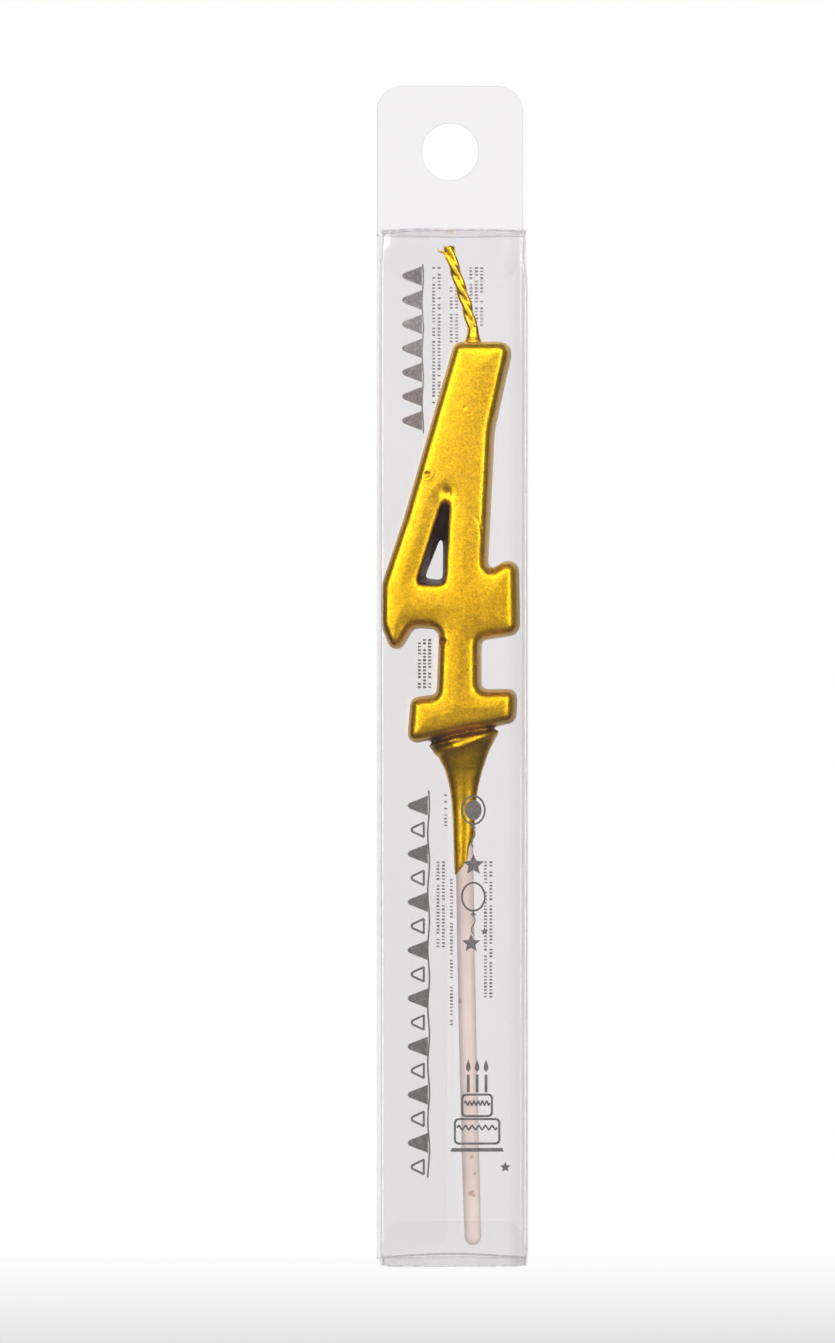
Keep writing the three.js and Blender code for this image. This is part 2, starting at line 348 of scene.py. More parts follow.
# Orange peel, flake and uneven tone of a dipped metallic lacquer.
lacquer = bpy.data.node_groups.new("dipped_lacquer", "ShaderNodeTree")
for name, default in (("Tone Size", 260.0), ("Peel Size", 1100.0), ("Flake Size", 3600.0)):
    socket = lacquer.interface.new_socket(name, in_out="INPUT", socket_type="NodeSocketFloat")
    socket.default_value = default
for socket in ("Tone", "Flake", "Peel"):
    lacquer.interface.new_socket(socket, in_out="OUTPUT", socket_type="NodeSocketFloat")
sizes = add_node(lacquer, "NodeGroupInput")
place = add_node(lacquer, "ShaderNodeTexCoord").outputs["Object"]
tone = add_node(lacquer, "ShaderNodeTexNoise", {
    "Vector": place, "Scale": sizes.outputs["Tone Size"], "Detail": 4.0, "Roughness": 0.55,
})
peel = add_node(lacquer, "ShaderNodeTexNoise", {
    "Vector": place, "Scale": sizes.outputs["Peel Size"], "Detail": 3.0, "Roughness": 0.6,
})
flake = add_node(lacquer, "ShaderNodeTexVoronoi", {
    "Vector": place, "Scale": sizes.outputs["Flake Size"], "Randomness": 1.0,
})
add_node(lacquer, "NodeGroupOutput", {
    "Tone": tone.outputs["Fac"], "Flake": flake.outputs["Distance"], "Peel": peel.outputs["Fac"],
})

gold_lacquer, tree = new_material("gold_lacquer")
coat = add_node(tree, "ShaderNodeGroup", node_tree=lacquer)
height = add_node(tree, "ShaderNodeSeparateXYZ", {
    0: add_node(tree, "ShaderNodeTexCoord").outputs["Object"],
}).outputs["Z"]
# Painted light: on top of its uneven tone, the gold is painted brighter towards the top of the figure
# and deeper below, as light falls from above.
painted_top_light = rescaled(tree, height, (0.084, 0.104), (0.0, 0.7))
mottle_and_top_light = reckoned(tree, "MULTIPLY_ADD", coat.outputs["Tone"], 0.55, painted_top_light)
colour = ramp(tree, mottle_and_top_light, (0.15, GOLD_DEEP), (0.95, GOLD))
flaked = multiplied(tree, colour, rescaled(tree, coat.outputs["Flake"], (0.0, 0.8), (0.66, 1.18)))
flank = add_node(tree, "ShaderNodeAttribute", attribute_name="side").outputs["Fac"]
faded = blend(tree, reckoned(tree, "MULTIPLY", flank, 0.5), flaked, WAX_SIDE)
# The painted shade in the hollows turns the gold a near-black brown.
shade_in_hollows = add_node(tree, "ShaderNodeAttribute", attribute_name="painted_recess_shade").outputs["Fac"]
shader = add_node(tree, "ShaderNodeBsdfPrincipled", {
    "Base Color": blend(tree, shade_in_hollows, faded, POCKET_SHADE),
    "Metallic": rescaled(tree, flank, (0.0, 1.0), (1.0, 0.6)),
    "Roughness": rescaled(tree, coat.outputs["Peel"], (0.3, 0.7), (0.36, 0.48)),
    "Normal": relief(tree, 0.4, 0.0001, coat.outputs["Peel"]),
})
finish_material(tree, shader.outputs["BSDF"])

figure = add_piece("gold_wax_figure", figure_mesh, gold_lacquer)
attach(figure, "candle")
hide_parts("wax_body")


# ---- The wick ----
# Three cotton yarns twisted into a cord and stiffened by the same gold lacquer. It is cast into the
# figure down to the foot and leans over above it; its cut end is flared and two fibres stand off.
STRANDS = 3
STRAND_RADIUS = 0.50 * MM
STRAND_OFFSET = 0.29 * MM
TWIST_PITCH = 8.5 * MM
COLLAR = ((124.6, 1.30), (125.2, 1.15), (125.7, 0.93), (126.3, 0.80), (127.1, 0.72))
STRAND_SIDES = 10
FLARE = 0.28
FLARE_LENGTH = 1.6 * MM
FIBRES = (  # x, z in mm along each fibre that stands off the cut end
    ((-0.7, 136.4), (-1.15, 137.2), (-1.75, 137.35), (-1.95, 137.7)),
    ((-0.3, 136.9), (-0.9, 137.9), (-1.2, 138.1)),
)
FIBRE_STEPS = 24
WICK_BROWN = (0.62, 0.34, 0.02, 1.0)


def candle_point(x, z, y=0.0):
    """A point of the candle, which stands slightly turned in its box."""
    return Matrix.Rotation(CANDLE_TURN, 3, "Z") @ Vector((x, y, z)) * MM


def tube(shape, points, radii, sides):
    """Adds a closed round tube along points, with a radius for each point."""
    rings = []
    up = Vector((0, 1, 0))
    for i, point in enumerate(points):
        along = (points[min(i + 1, len(points) - 1)] - points[max(i - 1, 0)]).normalized()
        across = along.cross(up).normalized()
        up = across.cross(along).normalized()
        rings.append([
            shape.verts.new(point + radii[i] * (math.cos(turn) * across + math.sin(turn) * up))
            for turn in (2 * math.pi * k / sides for k in range(sides))
        ])
    for lower, upper in zip(rings, rings[1:]):
        for k in range(sides):
            shape.faces.new((lower[k - 1], lower[k], upper[k], upper[k - 1]))
    shape.faces.new(rings[0])
    shape.faces.new(list(reversed(rings[-1])))


def smooth_route(knots, count):
    """Points along a Catmull-Rom curve through the knots."""
    route = []
    ends = [2 * knots[0] - knots[1], *knots, 2 * knots[-1] - knots[-2]]
    for i in range(count + 1):
        place = i / count * (len(knots) - 1)
        k = min(int(place), len(knots) - 2)
        t = place - k
        a, b, c, d = ends[k:k + 4]
        square = (2 * a - 5 * b + 4 * c - d) * t**2
        route.append(0.5 * (2 * b + (c - a) * t + square + (3 * b - a - 3 * c + d) * t**3))
    return route


wick_knots = [
    candle_point(x, z) for x, z in (
        (1.4, 75), (1.2, 84), (1.4, 96), (2.4, 108), (2.7, 120),
        (2.85, 126), (2.2, 129.1), (1.6, 131.2), (0.4, 134.9), (-0.5, 138),
    )
]
route = smooth_route(wick_knots, 420)
travelled = [0.0]
for start, end in zip(route, route[1:]):
    travelled.append(travelled[-1] + (end - start).length)
shape = bmesh.new()
for strand in range(STRANDS):
    yarn = []
    for i, point in enumerate(route):
        along = (route[min(i + 1, len(route) - 1)] - route[max(i - 1, 0)]).normalized()
        across = along.cross(Vector((0, 1, 0))).normalized()
        turn = 2 * math.pi * (travelled[i] / TWIST_PITCH + strand / STRANDS)
        left = travelled[-1] - travelled[i]
        flare = 1.0 + FLARE * max(0.0, 1.0 - left / FLARE_LENGTH) ** 2
        yarn.append(point + flare * STRAND_OFFSET * (
            math.cos(turn) * across + math.sin(turn) * across.cross(along)
        ))
    tube(shape, yarn, [STRAND_RADIUS] * len(yarn), STRAND_SIDES)
bmesh.ops.recalc_face_normals(shape, faces=shape.faces)
for stray in FIBRES:
    fibre = smooth_route([candle_point(x, z, -0.4) for x, z in stray], FIBRE_STEPS)
    tube(shape, fibre, [(0.17 - 0.05 * i / FIBRE_STEPS) * MM for i in range(len(fibre))], 8)
collar = [candle_point(2.85, z) for z, radius in COLLAR]
tube(shape, collar, [radius * MM for z, radius in COLLAR], 20)
bmesh.ops.recalc_face_normals(shape, faces=shape.faces)
wick_mesh = with_modifiers(
    mesh_of(shape, "wick_start"),
    ("REMESH", {"mode": "VOXEL", "voxel_size": 0.085 * MM}),
    ("SMOOTH", {"factor": 0.5, "iterations": 7}),
)
wick_mesh.name = "twisted_wick"

gold_thread, tree = new_material("gold_thread")
coat = add_node(tree, "ShaderNodeGroup", {"Tone Size": 700.0, "Peel Size": 2600.0}, node_tree=lacquer)
shader = add_node(tree, "ShaderNodeBsdfPrincipled", {
    "Base Color": ramp(tree, coat.outputs["Tone"], (0.35, WICK_BROWN), (0.6, GOLD)),
    "Metallic": 1.0,
    "Roughness": rescaled(tree, coat.outputs["Peel"], (0.3, 0.7), (0.26, 0.42)),
    "Normal": relief(tree, 0.5, 0.0001, coat.outputs["Peel"]),
})
finish_material(tree, shader.outputs["BSDF"])

wick = add_piece("twisted_wick", wick_mesh, gold_thread)
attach(wick, "candle")
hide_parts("wick")


# ---- The stick ----
# A moulded cream plastic pick, slightly see-through, a little bowed, with a domed end. Its upper
# end is cast into the neck. Handling has left a few dark specks near its foot.
STICK_SIDES = 40
STICK_RINGS = 180
STICK_RADIUS = 1.18 * MM
STICK_LEAN = 1.25
STICK_BOW = 1.6
RING_CROWDING = 1.35  # rings crowd towards the domed end
TAPER = 0.06
TAPER_LENGTH = 9 * MM
UNEVENNESS = 0.012
STICK_MARKS = (  # x, z and radius in mm
    (1.10, 35.6, 0.30),
    (2.70, 14.5, 0.26),
    (2.60, 9.5, 0.34),
    (2.98, 9.2, 0.26),
    (2.84, 9.75, 0.22),
    (3.10, 12.1, 0.20),
    (1.90, 22.6, 0.18),
)
STICK_TOP = 70.0
STICK_BOTTOM = 2.4
CREAM = (0.79, 0.69, 0.63, 1.0)
CREAM_SHADE = (0.68, 0.575, 0.52, 1.0)
GRIME = (0.56, 0.42, 0.36, 1.0)


def stick_axis(z):
    """The bowed centreline of the stick, in the candle's own millimetres."""
    down = max(0.0, (STICK_TOP - z) / (STICK_TOP - STICK_BOTTOM))
    return NECK_AXIS + STICK_LEAN * down ** STICK_BOW


shape = bmesh.new()
rings = []
for i in range(STICK_RINGS + 1):
    share = i / STICK_RINGS
    z = STICK_BOTTOM + (STICK_TOP - STICK_BOTTOM) * share ** RING_CROWDING
    above = (z - STICK_BOTTOM) * MM
    dome = math.sqrt(max(0.0, 1 - (1 - min(1.0, above / STICK_RADIUS)) ** 2))
    taper = 1.0 - TAPER * max(0.0, 1 - above / TAPER_LENGTH)
    radius = STICK_RADIUS * taper * max(dome, 0.02)
    ring = []
    for k in range(STICK_SIDES):
        turn = 2 * math.pi * k / STICK_SIDES
        seam = 1.0 + UNEVENNESS * (abs(math.cos(turn)) > 0.995)
        wander = 1.0 + UNEVENNESS * noise.noise(Vector((math.cos(turn), math.sin(turn), z * 0.35)))
        point = candle_point(stick_axis(z), z)
        offset = Vector((math.cos(turn), math.sin(turn), 0)) * radius * seam * wander
        ring.append(shape.verts.new(point + offset))
    rings.append(ring)
for lower, upper in zip(rings, rings[1:]):
    for k in range(STICK_SIDES):
        shape.faces.new((lower[k - 1], lower[k], upper[k], upper[k - 1]))
shape.faces.new(list(reversed(rings[0])))
shape.faces.new(rings[-1])
bmesh.ops.recalc_face_normals(shape, faces=shape.faces)
stick_mesh = mesh_of(shape, "cream_stick")
places = np.empty(len(stick_mesh.vertices) * 3)
stick_mesh.vertices.foreach_get("co", places)
x, y, z = (places.reshape(-1, 3) @ to_candle.T / MM).T
stain = np.zeros(len(x))
for spot_x, spot_z, radius in STICK_MARKS:
    away = np.hypot(x - spot_x, z - spot_z) / radius
    stain = np.maximum(stain, np.exp(-away ** 2) * (y < 0))
dirt = stick_mesh.attributes.new("dirt", "FLOAT", "POINT")
dirt.data.foreach_set("value", stain)

cream_plastic, tree = new_material("cream_plastic")
place = add_node(tree, "ShaderNodeTexCoord").outputs["Object"]
cloud = add_node(tree, "ShaderNodeTexNoise", {"Vector": place, "Scale": 140.0, "Detail": 3.0})
cloud = cloud.outputs["Fac"]
body = ramp(tree, cloud, (0.3, CREAM_SHADE), (0.7, CREAM))
speck = add_node(tree, "ShaderNodeAttribute", attribute_name="dirt").outputs["Fac"]
grime = ramp(tree, speck, (0.1, grey(1.0)), (0.9, GRIME))
shader = add_node(tree, "ShaderNodeBsdfPrincipled", {
    "Base Color": multiplied(tree, body, grime), "Roughness": 0.42,
    "Normal": relief(tree, 0.15, 0.0001, cloud),
    "Subsurface Weight": 0.35, "Subsurface Radius": (0.9, 0.6, 0.5), "Subsurface Scale": 0.0006,
})
finish_material(tree, shader.outputs["BSDF"])

stick = add_piece("cream_stick", stick_mesh, cream_plastic)
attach(stick, "candle")
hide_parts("stick")


# ---- The sleeve ----
# One die-cut sheet of clear PET, creased into a square tube; the back panel runs on upwards as the
# hang tab. The walls are not quite flat and the corners are bruised from handling.
SHEET = 0.2 * MM
CREASE_RADIUS = 0.45 * MM
CREASE_STEPS = 4
CREASE_LINE = 0.13 * MM
CREASE_INSET = 0.1 * MM
# The last column widens a line at its left end into a grey wedge, a painted shadow.
CREASES = (  # front or back, bottom or top, arch, and how much wider at its left end
    (-1, 1, 0.0, 1.1),
    (-1, 0, 0.0, 0.0),
    (1, 0, 0.55 * MM, 0.0),
    (1, 1, 0.15 * MM, 0.0),
)
CREASE_BITS = 40
WIDE_SHARE = 0.55  # how much of a crease line the wider stretch takes up
END_STIFFNESS = 12 * MM
LONG_WAVE = 31 * MM
SHORT_WAVE = 11 * MM
ROW_HEIGHT = 2.0 * MM
WALL_BOW = 0.16 * MM
BRUISES = (  # corner, push and reach of each dented corner, in mm
    ((-10, -7, 0), (0.4, 0.2, 0.3), 0.8),
    ((10, -7, 0), (-0.3, 0.2, 0.2), 0.8),
    ((-10, -7, 140), (0.35, 0.5, -0.35), 2.6),
    ((10, -7, 140), (-0.25, 0.6, -0.2), 3.0),
    ((9.9, -6.9, 136.2), (-0.45, 0.1, 0.0), 2.0),
)
CUT_CHAMFER = 0.05 * MM
HOLE_RADIUS = 3.9 * MM
HOLE_HEIGHT = 151.4 * MM
TAB_CORNER = 3.4 * MM
TAB_RINGS = 7
BLOOM_GREY = (0.34, 0.33, 0.35, 1.0)
FROST_DARK = (0.36, 0.35, 0.38, 1.0)
FROST_PALE = (0.52, 0.51, 0.54, 1.0)

box_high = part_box("front_panel")[1]
half_width = box_high.x
half_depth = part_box("back_panel")[1].y
box_height = box_high.z
tab_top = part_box("back_panel")[1].z
side_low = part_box("left_panel")[0].z
side_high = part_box("left_panel")[1].z
wall_x = half_width - SHEET / 2
wall_y = half_depth - SHEET / 2


def wall_wave(across, height):
    """How far a wall bows out of flat, from 0 to 1 across it, at a height in metres."""
    cross = math.sin(math.pi * across)
    ends = min(1.0, height / END_STIFFNESS, (box_height - height) / END_STIFFNESS)
    wave = 0.55 * math.sin(height / LONG_WAVE + 2.3 * across) + 0.3 * math.sin(height / SHORT_WAVE)
    return cross * max(0.0, ends) * wave


def perimeter():
    """The tube's cross-section, as (x, y, outward x, outward y, across, wall), anticlockwise."""
    inset = CREASE_RADIUS - SHEET / 2
    corners = ((1, -1), (1, 1), (-1, 1), (-1, -1))
    walls = ((1, 0, 14, "right"), (0, 1, 20, "back"), (-1, 0, 14, "left"), (0, -1, 20, "front"))
    points = []
    for (cx, cy), (nx, ny, steps, wall), (ex, ey) in zip(corners, walls, corners[1:] + corners[:1]):
        centre = Vector((cx * (wall_x - inset), cy * (wall_y - inset)))
        first = math.atan2(ny, nx) - math.pi / 2
        for k in range(1, CREASE_STEPS):
            turn = first + math.pi / 2 * k / CREASE_STEPS
            out = Vector((math.cos(turn), math.sin(turn)))
            points.append((*(centre + inset * out), *out, 0.0, "crease"))
        start = centre + inset * Vector((nx, ny))
        end = Vector((ex * (wall_x - inset), ey * (wall_y - inset))) + inset * Vector((nx, ny))
        for k in range(steps + 1):
            points.append((*start.lerp(end, k / steps), nx, ny, k / steps, wall))
    return points


def bruised(place):
    """Moves a point of the sleeve with the dented corners near it."""
    for corner, push, reach in BRUISES:
        away = (place - Vector(corner) * MM).length / (reach * MM)
        place = place + Vector(push) * MM * math.exp(-away ** 2)
    return place


shape = bmesh.new()
outline = perimeter()
row_count = round(box_height / ROW_HEIGHT)
rows = []
for j in range(row_count + 1):
    share = j / row_count
    row = []
    for x, y, out_x, out_y, across, wall in outline:
        trimmed = wall in ("left", "right")
        low, high = (side_low, side_high) if trimmed else (0.0, box_height)
        z = low + (high - low) * share
        bow = WALL_BOW * wall_wave(across, z) if wall != "crease" else 0.0
        row.append(shape.verts.new(bruised(Vector((x + bow * out_x, y + bow * out_y, z)))))
    rows.append(row)
for lower, upper in zip(rows, rows[1:]):
    for k in range(len(outline)):
        shape.faces.new((lower[k - 1], lower[k], upper[k], upper[k - 1]))

# The scored creases at the two ends show as frosted lines, which arch with the sagging lids. The front
# top line widens at its left end into a grey wedge, a painted shadow at the bent top left corner.
lines = bmesh.new()
for y, z, arch, shadow_wedge in CREASES:
    path, widths = [], []
    for k in range(CREASE_BITS + 1):
        share = k / CREASE_BITS
        inward = CREASE_INSET + arch * math.sin(math.pi * share)
        path.append(bruised(Vector((
            half_width * (2 * share - 1), y * (half_depth - CREASE_INSET),
            z * box_height + (1 - 2 * z) * inward,
        ))))
        widths.append(CREASE_LINE * (1.0 + shadow_wedge * max(0.0, 1.0 - share / WIDE_SHARE)))
    tube(lines, path, widths, 8)
bmesh.ops.recalc_face_normals(lines, faces=lines.faces)
for face in lines.faces:
    face.material_index = 2

# The tab: rings between its outline and its round hole, starting from the back wall's top row.
back_row = [vert for vert, spot in zip(rows[-1], outline) if spot[-1] == "back"]
edge = list(back_row)
corner_z = tab_top - TAB_CORNER
corner_x = half_width - TAB_CORNER
rim_points = [(-half_width, box_height + (corner_z - box_height) * k / 8) for k in range(9)]
for centre_x, first in ((-corner_x, math.pi), (corner_x, math.pi / 2)):
    rim_points += [
        (centre_x + TAB_CORNER * math.cos(first - math.pi / 2 * k / 8),
         corner_z + TAB_CORNER * math.sin(first - math.pi / 2 * k / 8))
        for k in range(1, 9)
    ]
    if centre_x < 0:
        rim_points += [(-corner_x + 2 * corner_x * k / 12, tab_top) for k in range(1, 13)]
rim_points += [(half_width, corner_z + (box_height - corner_z) * k / 8) for k in range(1, 9)]
edge += [shape.verts.new((x, wall_y, z)) for x, z in rim_points]
inner = edge
for ring in range(1, TAB_RINGS + 1):
    share = ring / TAB_RINGS
    circle = []
    for vert in edge:
        offset = Vector((vert.co.x, vert.co.z - HOLE_HEIGHT))
        place = offset.lerp(offset.normalized() * HOLE_RADIUS, share)
        circle.append(shape.verts.new((place.x, wall_y, HOLE_HEIGHT + place.y)))
    for k in range(len(edge)):
        shape.faces.new((inner[k - 1], inner[k], circle[k], circle[k - 1]))
    inner = circle
bmesh.ops.recalc_face_normals(shape, faces=shape.faces)


def sheet_mesh(shape, name):
    """A surface as a sheet of its thickness, with softly chamfered cut edges."""
    mesh = with_modifiers(
        mesh_of(shape, name),
        ("SOLIDIFY", {
            "thickness": SHEET, "offset": 0.0, "use_even_offset": True, "use_rim": True,
            "material_offset_rim": 1,
        }),
        ("BEVEL", {
            "width": CUT_CHAMFER, "segments": 1, "limit_method": "ANGLE",
            "angle_limit": math.radians(55), "material": 1,
        }),
    )
    mesh.set_sharp_from_angle(angle=math.radians(30))
    return mesh


sleeve_mesh = sheet_mesh(shape, "clear_sleeve")
whole = bmesh.new()
whole.from_mesh(sleeve_mesh)
crease_lines = mesh_of(lines, "crease_lines")
whole.from_mesh(crease_lines)
whole.to_mesh(sleeve_mesh)
whole.free()

# Handling marks of the clear sheet: faint ripples and a bloom of fine scuffs. A greyer strip towards the
# right-hand creases and a faint darkening towards the bottom of the box are painted shade.
handling_and_shade = bpy.data.node_groups.new("sheet_handling_and_shade", "ShaderNodeTree")
socket = handling_and_shade.interface.new_socket("Haze", in_out="INPUT", socket_type="NodeSocketFloat")
socket.default_value = 0.02
for name in ("Haze", "Ripple", "Unshaded"):
    handling_and_shade.interface.new_socket(name, in_out="OUTPUT", socket_type="NodeSocketFloat")
amount = add_node(handling_and_shade, "NodeGroupInput").outputs["Haze"]
place = add_node(handling_and_shade, "ShaderNodeTexCoord").outputs["Object"]
ripple = add_node(handling_and_shade, "ShaderNodeTexNoise", {"Vector": place, "Scale": 70.0, "Detail": 2.0})
bloom = add_node(handling_and_shade, "ShaderNodeTexNoise", {"Vector": place, "Scale": 45.0, "Detail": 5.0})
patchy = rescaled(handling_and_shade, bloom.outputs["Fac"], (0.3, 0.7), (0.6, 1.5))
spot = add_node(handling_and_shade, "ShaderNodeSeparateXYZ", {0: place})
# Painted shade: less shows through towards the right-hand creases and towards the bottom, but not on the
# tab.
shade_near_right = rescaled(handling_and_shade, spot.outputs["X"], (0.0074, 0.0086), (0.0, 0.022))
lower = rescaled(handling_and_shade, spot.outputs["Z"], (0.110, 0.030), (0.0, 0.008))
in_box = reckoned(handling_and_shade, "LESS_THAN", spot.outputs["Z"], 0.1395)
painted_shade = reckoned(handling_and_shade, "MULTIPLY", reckoned(handling_and_shade, "ADD", shade_near_right, lower), in_box)
add_node(handling_and_shade, "NodeGroupOutput", {
    "Haze": reckoned(handling_and_shade, "MULTIPLY", patchy, amount), "Ripple": ripple.outputs["Fac"],
    "Unshaded": reckoned(handling_and_shade, "SUBTRACT", 1.0, painted_shade),
})


def sheet_material(name, haze, tint, gloss_share, most_gloss):
    """Clear PET: what is behind shows through, slightly greyed, under a hard gloss."""
    material, tree = new_material(name)
    marks_and_shade = add_node(tree, "ShaderNodeGroup", {"Haze": haze}, node_tree=handling_and_shade)
    # What shows through is dimmed by the painted shade.
    through = add_node(tree, "ShaderNodeBsdfTransparent", {
        "Color": multiplied(tree, tint[:3], marks_and_shade.outputs["Unshaded"]),
    })
    bloom = add_node(tree, "ShaderNodeBsdfPrincipled", {"Base Color": BLOOM_GREY, "Roughness": 0.4})
    body = add_node(tree, "ShaderNodeMixShader", {
        0: marks_and_shade.outputs["Haze"], 1: through.outputs[0], 2: bloom.outputs[0],
    })
    gloss = add_node(tree, "ShaderNodeBsdfPrincipled", {
        "Base Color": grey(1.0), "Metallic": 1.0, "Roughness": 0.06,
        "Normal": relief(tree, 0.12, 0.0004, marks_and_shade.outputs["Ripple"]),
    })
    fresnel = add_node(tree, "ShaderNodeFresnel", {"IOR": 1.45}).outputs["Fac"]
    held = reckoned(tree, "MINIMUM", reckoned(tree, "MULTIPLY", fresnel, gloss_share), most_gloss)
    surface = add_node(tree, "ShaderNodeMixShader", {
        0: held, 1: body.outputs[0], 2: gloss.outputs[0],
    })
    finish_material(tree, surface.outputs[0])
    return material


def edge_material(name, alpha):
    """The cut edge of the sheet: frosted by the die, so it draws a grey line."""
    material, tree = new_material(name)
    place = add_node(tree, "ShaderNodeTexCoord").outputs["Object"]
    nick = add_node(tree, "ShaderNodeTexNoise", {"Vector": place, "Scale": 1500.0, "Detail": 2.0})
    frost = ramp(tree, nick.outputs["Fac"], (0.35, FROST_DARK), (0.65, FROST_PALE))
    shader = add_node(tree, "ShaderNodeBsdfPrincipled", {
        "Base Color": frost, "Roughness": 0.3, "Alpha": alpha,
    })
    finish_material(tree, shader.outputs["BSDF"])
    return material


clear_sheet = sheet_material("clear_sheet", 0.012, (0.985, 0.977, 0.981, 1.0), 1.0, 0.6)
cut_edge = edge_material("cut_edge", 0.5)
crease_frost = edge_material("crease_frost", 0.4)

sleeve = add_piece("clear_sleeve", sleeve_mesh, clear_sheet, cut_edge, crease_frost)
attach(sleeve, "sleeve")
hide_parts("front_panel", "back_panel", "left_panel", "right_panel")


# ---- The glue seam, lids, tongues and dust flaps ----
# The flaps of the same sheet. The seam flap is glued inside the back panel; at each end two dust
# flaps lie under a lid, whose tongue is tucked inside the opposite wall. Lids and dust flaps sag
# inwards a little between their creases.
LID_SAG = 0.55 * MM
FLAP_CELL = 0.9 * MM
clear_flap = sheet_material("clear_flap", 0.002, (0.998, 0.998, 0.998, 1.0), 0.2, 0.2)
clear_lid = sheet_material("clear_lid", 0.03, (0.985, 0.980, 0.984, 1.0), 0.6, 0.5)
flap_edge = edge_material("flap_edge", 0.07)


def flap_piece(name, node, body, material, sag=None):
    """A flap with the outline of its CAD node, cut into small cells so that it can sag."""
    low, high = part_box(node)
    thin = min(range(3), key=lambda axis: high[axis] - low[axis])
    shape = merged_copy(node)
    middle = (low[thin] + high[thin]) / 2
    outer = [f for f in shape.faces if f.calc_center_median()[thin] < middle + 1e-6
             and abs(f.normal[thin]) > 0.9]
    bmesh.ops.delete(shape, geom=[f for f in shape.faces if f not in outer], context="FACES")
    for vert in shape.verts:
        vert.co[thin] = middle
    bmesh.ops.dissolve_limit(shape, angle_limit=0.01, verts=shape.verts, edges=shape.edges)
    for axis in range(3):
        if axis == thin:
            continue
        count = max(2, round((high[axis] - low[axis]) / FLAP_CELL))
        normal = Vector([float(a == axis) for a in range(3)])
        for k in range(1, count):
            cut = Vector(low)
            cut[axis] = low[axis] + (high[axis] - low[axis]) * k / count
            bmesh.ops.bisect_plane(
                shape, geom=shape.verts[:] + shape.edges[:] + shape.faces[:],
                plane_co=cut, plane_no=normal,
            )
    if sag:
        for vert in shape.verts:
            vert.co[thin] += sag(vert.co)
    piece = add_piece(name, sheet_mesh(shape, name), material, flap_edge)
    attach(piece, body)
    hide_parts(node)
    return piece


def lid_sag(end):
    """Lids and dust flaps bend into the box, most in the middle of the opening."""
    inward = -1.0 if end == "top" else 1.0

    def bend(point):
        across = math.cos(0.5 * math.pi * min(1.0, abs(point.x) / half_width))
        shade_in_hollows = math.cos(0.5 * math.pi * min(1.0, abs(point.y) / half_depth))
        return inward * LID_SAG * across * shade_in_hollows

    return bend


flap_piece("clear_seam_flap", "glue_seam_flap", "sleeve", clear_flap)
for end in ("top", "bottom"):
    flap_piece(f"clear_{end}_lid", f"{end}_lid", f"{end}_lid", clear_lid, lid_sag(end))
    flap_piece(f"clear_{end}_tongue", f"{end}_tuck_tongue", f"{end}_tongue", clear_flap)
    for side in ("left", "right"):
        flap_piece(
            f"clear_{end}_dust_flap_{side}", f"{end}_dust_flap_{side}", f"{end}_{side}_flap",
            clear_flap, lid_sag(end),
        )


# ---- The print ----
# Warm grey ink on the outside of the front and back panels: a garland of pennants, balloons and
# stars, a cake pictogram, and columns of short dashes where small type would be.
INK_THICKNESS = 0.012 * MM
INK_LIFT = 0.11 * MM
DASH = (0.42, 0.26)
PENNANT = ((0.0, -1.35), (0.0, 1.35), (-2.55, 0.35), (-2.75, 0.0), (-2.55, -0.35))
BALLOON_X = 2.6
STARS = ((2.6, 54.2, 1.5), (2.3, 43.6, 1.3), (4.1, 45.2, 0.55), (6.9, 13.4, 0.75))  # x, z, radius
STAR_WAIST = 0.46
CAKE_TIERS = ((0.1, 6.1, 16.6, 19.9), (1.1, 5.1, 20.3, 23.2))  # left, right, low, high
TIER_CORNER = 0.5
BACK_DASHES = (  # left x, top z, columns, column pitch, rows, row pitch
    (-2.25, 135.5, 2, 0.74, 42, 0.46),
    (0.15, 132.8, 2, 0.74, 17, 0.46),
    (2.85, 135.5, 3, 0.74, 18, 0.46),
    (-4.20, 84.6, 3, 0.70, 15, 0.46),
    (-0.60, 63.4, 1, 0.70, 10, 0.46),
    (-1.65, 54.2, 2, 0.74, 26, 0.46),
    (0.20, 51.8, 1, 0.74, 44, 0.46),
    (4.85, 54.2, 2, 0.74, 41, 0.46),
)


def ink_material(name, full, starved):
    """Matt screen ink, slightly starved in places."""
    material, tree = new_material(name)
    place = add_node(tree, "ShaderNodeTexCoord").outputs["Object"]
    grain = add_node(tree, "ShaderNodeTexNoise", {"Vector": place, "Scale": 2600.0, "Detail": 3.0})
    colour = ramp(tree, grain.outputs["Fac"], (0.35, starved), (0.55, full))
    shader = add_node(tree, "ShaderNodeBsdfPrincipled", {"Base Color": colour, "Roughness": 0.6})
    finish_material(tree, shader.outputs["BSDF"])
    return material


front_ink = ink_material("front_ink", (0.066, 0.056, 0.054, 1.0), (0.11, 0.10, 0.098, 1.0))
back_ink = ink_material("back_ink", (0.36, 0.34, 0.345, 1.0), (0.56, 0.54, 0.545, 1.0))

